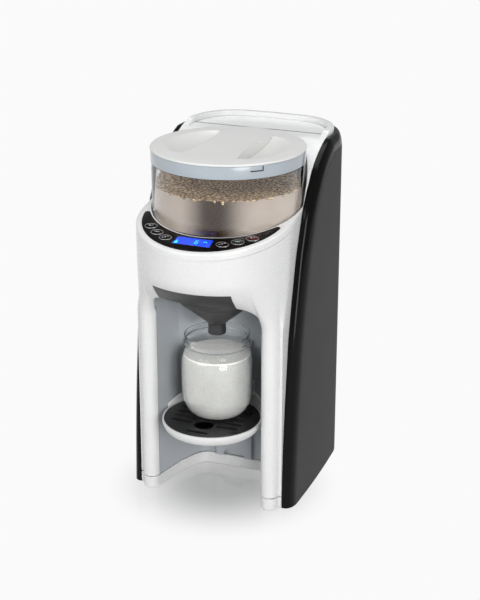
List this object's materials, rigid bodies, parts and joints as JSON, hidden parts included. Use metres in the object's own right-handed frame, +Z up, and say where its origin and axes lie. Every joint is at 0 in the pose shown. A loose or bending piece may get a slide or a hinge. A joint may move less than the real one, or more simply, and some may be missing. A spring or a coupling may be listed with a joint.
{
  "type": "baby formula maker",
  "caption": "Countertop formula maker: powder drum over a mixing head, bottle bay with drip tray, rear water tank, sloping key panel.",
  "frame": {"origin": "middle of the footprint on the surface it stands on", "axes": "+X to the right seen from the front, -Y out of the front, +Z up"},
  "size_m": [0.178, 0.2496, 0.36],
  "materials": {
    "white_gloss": "glossy warm white ABS",
    "white_inner": "satin light grey moulding",
    "dark_matte": "fine matte dark grey casing with a glossy black front edge",
    "funnel_grey": "satin charcoal moulding",
    "panel_black": "glossy black",
    "tray_black": "satin black",
    "lcd_blue": "backlit blue display window",
    "clear_plastic": "clear moulded plastic",
    "collar_grey": "translucent blue-grey collar",
    "powder_cream": "cream milk powder",
    "milk_white": "white milk",
    "bright_metal": "bright plated trim",
    "steel": "plain steel",
    "gear_plastic": "natural acetal",
    "black_rubber": "matte black rubber",
    "board_green": "green circuit board",
    "hose_grey": "pale silicone hose"
  },
  "bodies": {
    "chassis": {"wrap_shell": "dark_matte", "front_shell": "white_gloss", "bay_liner": "white_inner", "base_plate": "white_gloss", "deck_cover": "white_gloss", "top_cover": "white_gloss", "control_bezel": "panel_black", "lcd_window": "lcd_blue", "display_module": "steel", "control_board": "board_green", "button_trim": "bright_metal", "container_seat": "white_inner", "powder_chute": "white_inner", "gear_case": "white_inner", "drive_motor": "steel", "water_nozzle": "hose_grey", "tank_platform": "white_inner", "pump": "steel", "heater": "steel", "tank_hose": "hose_grey", "heater_hose": "hose_grey", "nozzle_hose": "hose_grey", "power_board": "board_green", "inlet_socket": "panel_black", "switch_frame": "panel_black", "foot_front_left": "black_rubber", "foot_front_right": "black_rubber", "foot_rear_left": "black_rubber", "foot_rear_right": "black_rubber", "screw_post_left": "steel", "screw_post_right": "steel", "screw_leg_left": "steel", "screw_leg_right": "steel"},
    "container": {"powder_container": "clear_plastic", "container_collar": "collar_grey", "powder": "powder_cream"},
    "lid_seal": {"lid_gasket": "black_rubber"},
    "lid": {"container_lid": "white_gloss"},
    "drive": {"drive_gear": "gear_plastic", "drive_spindle": "steel"},
    "pinion": {"motor_pinion": "gear_plastic"},
    "stirrer": {"stirring_wheel": "white_inner", "stirring_arms": "white_inner"},
    "tank": {"water_tank": "clear_plastic"},
    "tank_cover": {"tank_lid": "white_gloss"},
    "valve": {"tank_valve": "black_rubber"},
    "funnel_drawer": {"funnel": "funnel_grey", "funnel_cover": "funnel_grey"},
    "tray_mount": {"tray_carrier": "white_gloss"},
    "tray": {"drip_tray": "white_gloss", "tray_grid": "tray_black"},
    "baby_bottle": {"bottle": "clear_plastic", "milk": "milk_white"},
    "rocker": {"power_rocker": "panel_black"},
    "button_left_1_key": {"button_left_1": "panel_black"},
    "button_left_2_key": {"button_left_2": "panel_black"},
    "button_left_3_key": {"button_left_3": "panel_black"},
    "button_right_1_key": {"button_right_1": "panel_black"},
    "button_right_2_key": {"button_right_2": "panel_black"},
    "button_right_3_key": {"button_right_3": "panel_black"}
  },
  "joints": [
    {"name": "container_lift", "type": "slide", "parent": "chassis", "child": "container", "axis": [0, 0, 1], "range_m": [0, 0.075]},
    {"name": "lid_lift", "type": "slide", "parent": "container", "child": "lid_seal", "axis": [0, 0, 1], "range_m": [0, 0.04]},
    {"name": "lid_twist", "type": "hinge", "parent": "lid_seal", "child": "lid", "pos_m": [0, -0.0154, 0.3549], "axis": [0, 0, 1], "range_deg": [-30, 0]},
    {"name": "drive_gear_spin", "type": "hinge", "parent": "chassis", "child": "drive", "pos_m": [0, -0.0154, 0.27], "axis": [0, 0, 1], "continuous": true},
    {"name": "pinion_spin", "type": "hinge", "parent": "chassis", "child": "pinion", "pos_m": [0, 0.0086, 0.27], "axis": [0, 0, 1], "continuous": true},
    {"name": "stirrer_spin", "type": "hinge", "parent": "container", "child": "stirrer", "pos_m": [0, -0.0154, 0.2861], "axis": [0, 0, 1], "continuous": true},
    {"name": "tank_lift", "type": "slide", "parent": "chassis", "child": "tank", "axis": [0, 0, 1], "range_m": [0, 0.12]},
    {"name": "tank_lid_lift", "type": "slide", "parent": "tank", "child": "tank_cover", "axis": [0, 0, 1], "range_m": [0, 0.035]},
    {"name": "tank_valve_slide", "type": "slide", "parent": "tank", "child": "valve", "axis": [0, 0, 1], "range_m": [0, 0.003], "stiffness_N_per_m": 200},
    {"name": "funnel_slide", "type": "slide", "parent": "chassis", "child": "funnel_drawer", "axis": [0, -1, 0], "range_m": [0, 0.07]},
    {"name": "tray_height", "type": "slide", "parent": "chassis", "child": "tray_mount", "axis": [0, 0, 1], "range_m": [-0.05, 0]},
    {"name": "tray_pull", "type": "slide", "parent": "tray_mount", "child": "tray", "axis": [0, -1, 0], "range_m": [0, 0.07]},
    {"name": "bottle_slide", "type": "slide", "parent": "tray", "child": "baby_bottle", "axis": [0, -1, 0], "range_m": [0, 0.07]},
    {"name": "power_rocker_tilt", "type": "hinge", "parent": "chassis", "child": "rocker", "pos_m": [0.018, 0.1221, 0.04], "axis": [1, 0, 0], "range_deg": [-16, 0]},
    {"name": "button_left_1_press", "type": "slide", "parent": "chassis", "child": "button_left_1_key", "axis": [0, 0.1961, -0.9806], "range_m": [0, 0.0008], "stiffness_N_per_m": 400},
    {"name": "button_left_2_press", "type": "slide", "parent": "chassis", "child": "button_left_2_key", "axis": [0, 0.1961, -0.9806], "range_m": [0, 0.0008], "stiffness_N_per_m": 400},
    {"name": "button_left_3_press", "type": "slide", "parent": "chassis", "child": "button_left_3_key", "axis": [0, 0.1961, -0.9806], "range_m": [0, 0.0008], "stiffness_N_per_m": 400},
    {"name": "button_right_1_press", "type": "slide", "parent": "chassis", "child": "button_right_1_key", "axis": [0, 0.1961, -0.9806], "range_m": [0, 0.0008], "stiffness_N_per_m": 400},
    {"name": "button_right_2_press", "type": "slide", "parent": "chassis", "child": "button_right_2_key", "axis": [0, 0.1961, -0.9806], "range_m": [0, 0.0008], "stiffness_N_per_m": 400},
    {"name": "button_right_3_press", "type": "slide", "parent": "chassis", "child": "button_right_3_key", "axis": [0, 0.1961, -0.9806], "range_m": [0, 0.0008], "stiffness_N_per_m": 400}
  ],
  "couplings": [
    {"joint": "pinion_spin", "follows": "drive_gear_spin", "ratio": -3},
    {"joint": "stirrer_spin", "follows": "drive_gear_spin", "ratio": 1}
  ]
}
